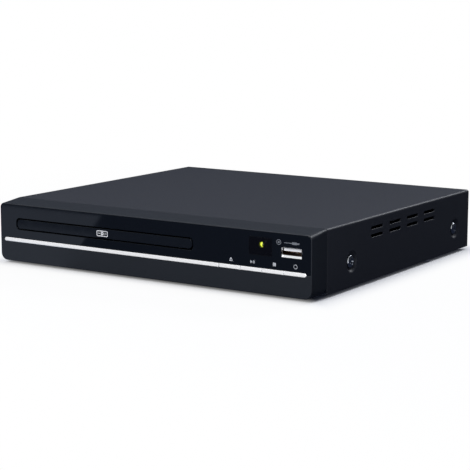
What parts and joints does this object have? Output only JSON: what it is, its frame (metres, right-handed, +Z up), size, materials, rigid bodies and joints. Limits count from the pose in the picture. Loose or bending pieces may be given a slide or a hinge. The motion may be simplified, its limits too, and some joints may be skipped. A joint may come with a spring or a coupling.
{
  "type": "disc player",
  "caption": "Compact disc player with a motor-driven tray, USB socket and a silver key line, built as separate pieces with working joints.",
  "frame": {"origin": "centre of the whole object's box at the height of the feet's undersides", "axes": "+X to the right as seen from the front, +Y from the front panel to the rear, +Z up"},
  "size_m": [0.225, 0.212, 0.0394],
  "materials": {
    "chassis_steel": "zinc-plated sheet steel, satin",
    "rear_steel": "black powder-coated sheet steel",
    "cover_paint": "dark grey fine-textured paint on sheet steel",
    "fascia_abs": "satin charcoal ABS moulding",
    "gloss_black": "gloss piano-black ABS",
    "smoked_window": "dark smoked acrylic",
    "silver_line": "silver-painted ABS",
    "plunger_plastic": "grey nylon",
    "switch_body": "pressed steel switch case",
    "board_green": "green solder-masked fibreglass board",
    "board_tan": "tan phenolic paper board",
    "plated_screw": "bright zinc-plated steel",
    "lamp_lens": "yellow-green diffused epoxy lamp",
    "ir_epoxy": "black epoxy infra-red receiver",
    "usb_steel": "nickel-plated steel shell",
    "usb_white": "white nylon tongue",
    "gold_contact": "gold-plated contact springs",
    "foot_rubber": "soft black rubber",
    "loader_abs": "dark grey ABS moulding",
    "lift_plastic": "grey glass-filled moulding",
    "door_gloss": "black ABS, gloss",
    "motor_can": "plated motor can",
    "white_gear": "natural acetal",
    "plate_steel": "galvanised pressed steel",
    "ground_rod": "ground stainless rod",
    "spindle_base": "motor base and stator",
    "rotor_can": "bright plated rotor cup",
    "turntable_black": "black polycarbonate hub with rubber ring",
    "lens_glass": "coated objective lens in its holder",
    "chip_black": "black moulded epoxy",
    "cap_sleeve": "dark blue capacitor sleeve",
    "socket_black": "black nylon",
    "transformer_tape": "yellow insulating tape on a ferrite core"
  },
  "bodies": {
    "case": {"bottom_chassis": "chassis_steel", "rear_panel": "rear_steel", "top_cover": "cover_paint", "front_fascia": "fascia_abs", "gloss_panel": "gloss_black", "sensor_window": "smoked_window", "trim_strip": "silver_line", "tact_switches": "switch_body", "front_board": "board_green", "board_screws": "plated_screw", "standby_led": "lamp_lens", "ir_receiver": "ir_epoxy", "usb_shell": "usb_steel", "usb_tongue": "usb_white", "usb_contacts": "gold_contact", "rubber_feet": "foot_rubber", "case_screws": "plated_screw", "loader_frame": "loader_abs", "loader_screws": "plated_screw", "loading_motor": "motor_can", "drive_belt": "foot_rubber", "clamper_bridge": "plate_steel", "main_board": "board_green", "main_chips": "chip_black", "capacitors": "cap_sleeve", "hdmi_socket": "usb_steel", "av_block": "socket_black", "av_shells": "usb_steel", "power_board": "board_tan", "power_transformer": "transformer_tape", "mains_inlet": "socket_black", "front_ribbon": "white_gear"},
    "tray": {"disc_tray": "loader_abs", "tray_door": "door_gloss"},
    "eject_button": {"eject_key": "silver_line", "eject_plunger": "plunger_plastic"},
    "play_button": {"play_key": "silver_line", "play_plunger": "plunger_plastic"},
    "stop_button": {"stop_key": "silver_line", "stop_plunger": "plunger_plastic"},
    "power_button": {"power_key": "silver_line", "power_plunger": "plunger_plastic"},
    "traverse": {"lift_frame": "lift_plastic", "rubber_bushes": "foot_rubber", "bush_screws": "plated_screw", "traverse_plate": "plate_steel", "guide_rods": "ground_rod", "spindle_motor": "spindle_base", "sled_motor": "motor_can"},
    "spindle": {"spindle_rotor": "rotor_can", "turntable": "turntable_black"},
    "pickup": {"pickup_sled": "loader_abs"},
    "lens": {"objective_lens": "lens_glass"},
    "sled_drive": {"sled_gear": "white_gear"},
    "sled_motor_shaft": {"sled_pinion": "white_gear"},
    "clamper": {"clamper_puck": "white_gear"},
    "cam": {"cam_slider": "white_gear"},
    "tray_drive": {"tray_gear": "white_gear"},
    "belt_wheel": {"pulley_gear": "white_gear"},
    "motor_wheel": {"motor_pulley": "white_gear"}
  },
  "joints": [
    {"name": "tray_slide", "type": "slide", "parent": "case", "child": "tray", "axis": [0, -1, 0], "range_m": [0, 0.135]},
    {"name": "eject_press", "type": "slide", "parent": "case", "child": "eject_button", "axis": [0, 1, 0], "range_m": [0, 0.0005], "stiffness_N_per_m": 900, "springref_m": -0.0006},
    {"name": "play_press", "type": "slide", "parent": "case", "child": "play_button", "axis": [0, 1, 0], "range_m": [0, 0.0005], "stiffness_N_per_m": 900, "springref_m": -0.0006},
    {"name": "stop_press", "type": "slide", "parent": "case", "child": "stop_button", "axis": [0, 1, 0], "range_m": [0, 0.0005], "stiffness_N_per_m": 900, "springref_m": -0.0006},
    {"name": "power_press", "type": "slide", "parent": "case", "child": "power_button", "axis": [0, 1, 0], "range_m": [0, 0.0005], "stiffness_N_per_m": 900, "springref_m": -0.0006},
    {"name": "traverse_lift", "type": "hinge", "parent": "case", "child": "traverse", "pos_m": [-0.03275, 0.0595, 0.0154], "axis": [-1, 0, 0], "range_deg": [0, 4.12]},
    {"name": "cam_shift", "type": "slide", "parent": "case", "child": "cam", "axis": [1, 0, 0], "range_m": [0, 0.02]},
    {"name": "turntable_spin", "type": "hinge", "parent": "traverse", "child": "spindle", "pos_m": [-0.03275, -0.03174, 0.01543], "axis": [0, -0.072, 0.9974], "continuous": true},
    {"name": "clamper_spin", "type": "hinge", "parent": "case", "child": "clamper", "pos_m": [-0.03275, -0.0315, 0.031], "axis": [0, 0, 1], "continuous": true},
    {"name": "pickup_slide", "type": "slide", "parent": "traverse", "child": "pickup", "axis": [0, 0.9974, 0.072], "range_m": [0, 0.035]},
    {"name": "lens_focus", "type": "slide", "parent": "pickup", "child": "lens", "axis": [0, -0.072, 0.9974], "range_m": [-0.0003, 0.0003], "stiffness_N_per_m": 60},
    {"name": "sled_gear_spin", "type": "hinge", "parent": "traverse", "child": "sled_drive", "pos_m": [0.00885, -0.00068, 0.01567], "axis": [0, -0.072, 0.9974], "range_deg": [-363.1, 5]},
    {"name": "sled_pinion_spin", "type": "hinge", "parent": "traverse", "child": "sled_motor_shaft", "pos_m": [0.02085, -0.00068, 0.01567], "axis": [0, -0.072, 0.9974], "range_deg": [-10, 726.2]},
    {"name": "tray_gear_spin", "type": "hinge", "parent": "case", "child": "tray_drive", "pos_m": [0.01975, -0.0795, 0.02], "axis": [0, 0, 1], "range_deg": [-972.8, 5.9]},
    {"name": "pulley_gear_spin", "type": "hinge", "parent": "case", "child": "belt_wheel", "pos_m": [0.00378, -0.07369, 0.02], "axis": [0, 0, 1], "range_deg": [-8.6, 2329.1]},
    {"name": "motor_pulley_spin", "type": "hinge", "parent": "case", "child": "motor_wheel", "pos_m": [-0.03075, -0.0755, 0.018], "axis": [0, 0, 1], "range_deg": [-23.2, 9614.5]}
  ],
  "couplings": [
    {"joint": "tray_gear_spin", "follows": "tray_slide", "rad_per_m": -125},
    {"joint": "pulley_gear_spin", "follows": "tray_slide", "rad_per_m": 300},
    {"joint": "motor_pulley_spin", "follows": "tray_slide", "rad_per_m": 1240},
    {"joint": "cam_shift", "follows": "traverse_lift", "m_per_rad": 0.27762},
    {"joint": "clamper_spin", "follows": "turntable_spin", "ratio": 1},
    {"joint": "sled_gear_spin", "follows": "pickup_slide", "rad_per_m": -178.57},
    {"joint": "sled_pinion_spin", "follows": "pickup_slide", "rad_per_m": 357.14}
  ]
}
